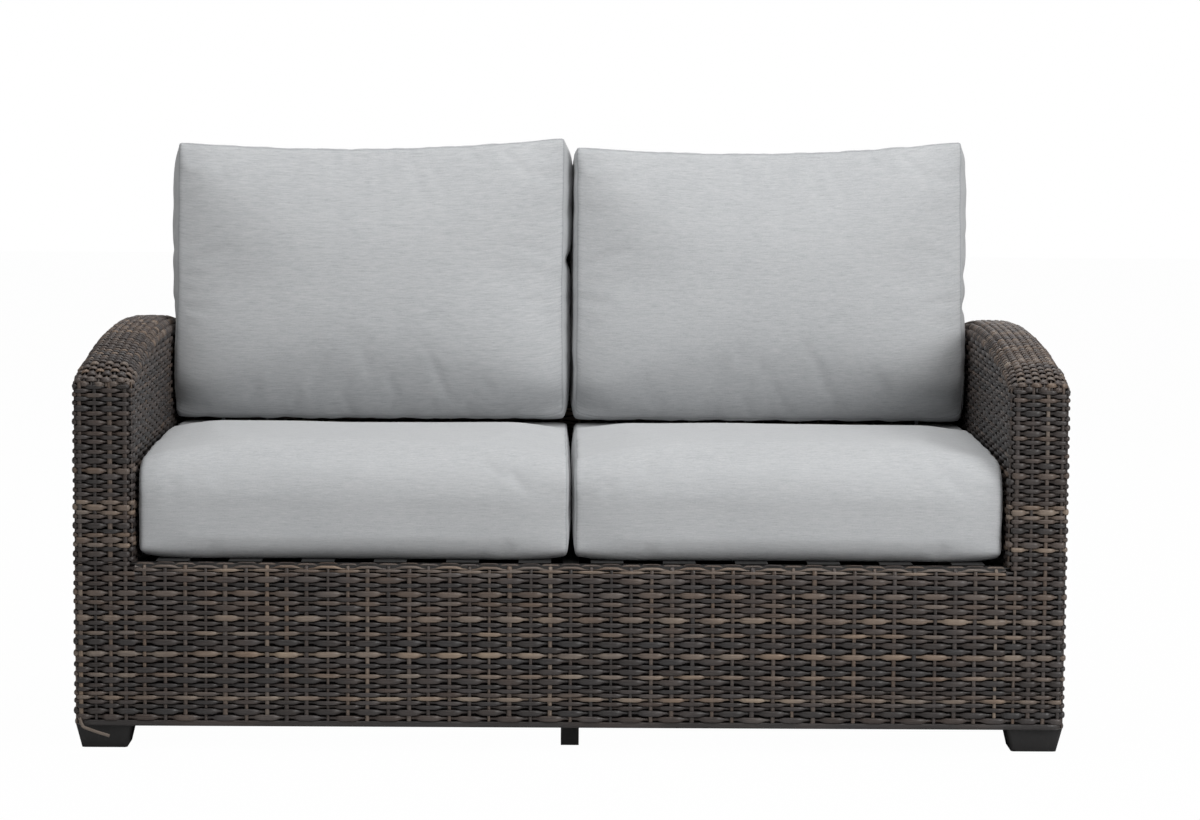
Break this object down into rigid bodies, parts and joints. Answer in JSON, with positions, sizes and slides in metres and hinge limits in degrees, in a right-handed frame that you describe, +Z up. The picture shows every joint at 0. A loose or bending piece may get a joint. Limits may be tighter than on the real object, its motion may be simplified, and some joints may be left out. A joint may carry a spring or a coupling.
{
  "type": "patio loveseat",
  "caption": "Two-seat outdoor loveseat with woven resin skins over a tube frame, arched arms and loose seat and back cushions.",
  "frame": {"origin": "on the ground under the middle of the whole piece", "axes": "+X to the right as seen from the front, -Y out of the front of the seat, +Z up"},
  "size_m": [1.524, 0.838, 0.927],
  "materials": {
    "woven_strand": "woven flat resin strand, satin",
    "frame_tube": "dark powder coat",
    "foot_plastic": "moulded matte black",
    "webbing": "elastic webbing",
    "cushion_fabric": "heather grey woven outdoor fabric",
    "cushion_fill": "foam and polyester fibre",
    "fastener_steel": "zinc plated",
    "zip_metal": "satin nickel"
  },
  "bodies": {
    "frame": {"arm_ties": "frame_tube", "back_front_weave": "woven_strand", "back_rear_weave": "woven_strand", "back_top_rail": "frame_tube", "centre_lower_beam": "frame_tube", "foot_bolts": "fastener_steel", "foot_plates": "frame_tube", "front_centre_leg": "foot_plastic", "front_left_foot": "foot_plastic", "front_lower_rail": "frame_tube", "front_right_foot": "foot_plastic", "front_seat_rail": "frame_tube", "front_weave": "woven_strand", "left_arm_front_weave": "woven_strand", "left_arm_rear_weave": "woven_strand", "left_arm_top_weave": "woven_strand", "left_back_post": "frame_tube", "left_front_post": "frame_tube", "left_inner_arm_rail": "frame_tube", "left_inner_post": "frame_tube", "left_inner_weave": "woven_strand", "left_lower_rail": "frame_tube", "left_outer_arm_rail": "frame_tube", "left_outer_weave": "woven_strand", "left_rear_post": "frame_tube", "left_seat_rail": "frame_tube", "rear_centre_leg": "foot_plastic", "rear_left_foot": "foot_plastic", "rear_lower_rail": "frame_tube", "rear_right_foot": "foot_plastic", "rear_seat_rail": "frame_tube", "rear_skirt_weave": "woven_strand", "right_arm_front_weave": "woven_strand", "right_arm_rear_weave": "woven_strand", "right_arm_top_weave": "woven_strand", "right_back_post": "frame_tube", "right_front_post": "frame_tube", "right_inner_arm_rail": "frame_tube", "right_inner_post": "frame_tube", "right_inner_weave": "woven_strand", "right_lower_rail": "frame_tube", "right_outer_arm_rail": "frame_tube", "right_outer_weave": "woven_strand", "right_rear_post": "frame_tube", "right_seat_rail": "frame_tube", "seat_centre_rail": "frame_tube", "seat_straps": "webbing"},
    "left_seat_cushion": {"left_seat_cushion_cover": "cushion_fabric", "left_seat_foam_core": "cushion_fill"},
    "left_back_cushion": {"left_back_cushion_cover": "cushion_fabric", "left_back_fibre_core": "cushion_fill"},
    "left_seat_zip": {"left_seat_zip_pull": "zip_metal"},
    "left_back_zip": {"left_back_zip_pull": "zip_metal"},
    "right_seat_cushion": {"right_seat_cushion_cover": "cushion_fabric", "right_seat_foam_core": "cushion_fill"},
    "right_back_cushion": {"right_back_cushion_cover": "cushion_fabric", "right_back_fibre_core": "cushion_fill"},
    "right_seat_zip": {"right_seat_zip_pull": "zip_metal"},
    "right_back_zip": {"right_back_zip_pull": "zip_metal"}
  },
  "joints": [
    {"name": "left_seat_pull_out", "type": "slide", "parent": "frame", "child": "left_seat_cushion", "axis": [0, -1, 0], "range_m": [0, 0.66]},
    {"name": "left_back_lift_off", "type": "slide", "parent": "frame", "child": "left_back_cushion", "axis": [0, 0, 1], "range_m": [0, 0.45]},
    {"name": "left_seat_zip_run", "type": "slide", "parent": "left_seat_cushion", "child": "left_seat_zip", "axis": [1, 0, 0], "range_m": [0, 0.52]},
    {"name": "left_back_zip_run", "type": "slide", "parent": "left_back_cushion", "child": "left_back_zip", "axis": [1, 0, 0], "range_m": [0, 0.52]},
    {"name": "right_seat_pull_out", "type": "slide", "parent": "frame", "child": "right_seat_cushion", "axis": [0, -1, 0], "range_m": [0, 0.66]},
    {"name": "right_back_lift_off", "type": "slide", "parent": "frame", "child": "right_back_cushion", "axis": [0, 0, 1], "range_m": [0, 0.45]},
    {"name": "right_seat_zip_run", "type": "slide", "parent": "right_seat_cushion", "child": "right_seat_zip", "axis": [-1, 0, 0], "range_m": [0, 0.52]},
    {"name": "right_back_zip_run", "type": "slide", "parent": "right_back_cushion", "child": "right_back_zip", "axis": [-1, 0, 0], "range_m": [0, 0.52]}
  ]
}
